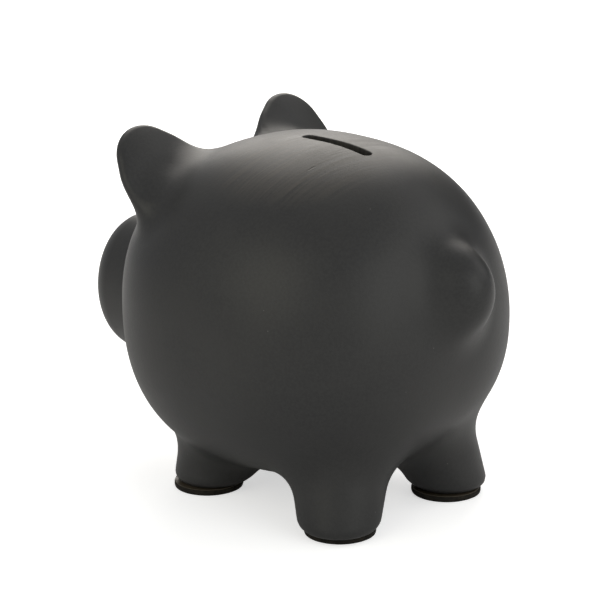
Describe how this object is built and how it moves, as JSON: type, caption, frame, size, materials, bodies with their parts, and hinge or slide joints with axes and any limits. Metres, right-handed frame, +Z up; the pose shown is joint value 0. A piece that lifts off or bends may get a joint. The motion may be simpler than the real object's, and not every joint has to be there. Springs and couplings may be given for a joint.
{
  "type": "piggy bank",
  "caption": "Hollow ceramic pig-shaped coin bank with a slot along its back, rounded ears, drum snout, stub legs on foam pads and a pull-out rubber belly stopper.",
  "frame": {"origin": "on the surface the pig stands on, under the middle of its length and width", "axes": "+Z up; the nose points along -Y and the tail along +Y; the pig's left side is +X"},
  "size_m": [0.1426, 0.1981, 0.1482],
  "materials": {
    "matte_ceramic": "matte charcoal-black coating with a fine chalky grain and faint wipe marks",
    "stopper_rubber": "smooth soft black rubber",
    "pad_foam": "dense brown-black foam with a fine grain",
    "adhesive_film": "thin tacky film"
  },
  "bodies": {
    "bank": {"ceramic_casting": "matte_ceramic", "foot_pad_front_left": "pad_foam", "foot_pad_front_right": "pad_foam", "foot_pad_rear_left": "pad_foam", "foot_pad_rear_right": "pad_foam", "pad_film_front_left": "adhesive_film", "pad_film_front_right": "adhesive_film", "pad_film_rear_left": "adhesive_film", "pad_film_rear_right": "adhesive_film"},
    "stopper": {"belly_stopper": "stopper_rubber"}
  },
  "joints": [
    {"name": "stopper_slide", "type": "slide", "parent": "bank", "child": "stopper", "axis": [0, 0, -1], "range_m": [0, 0.012]}
  ]
}
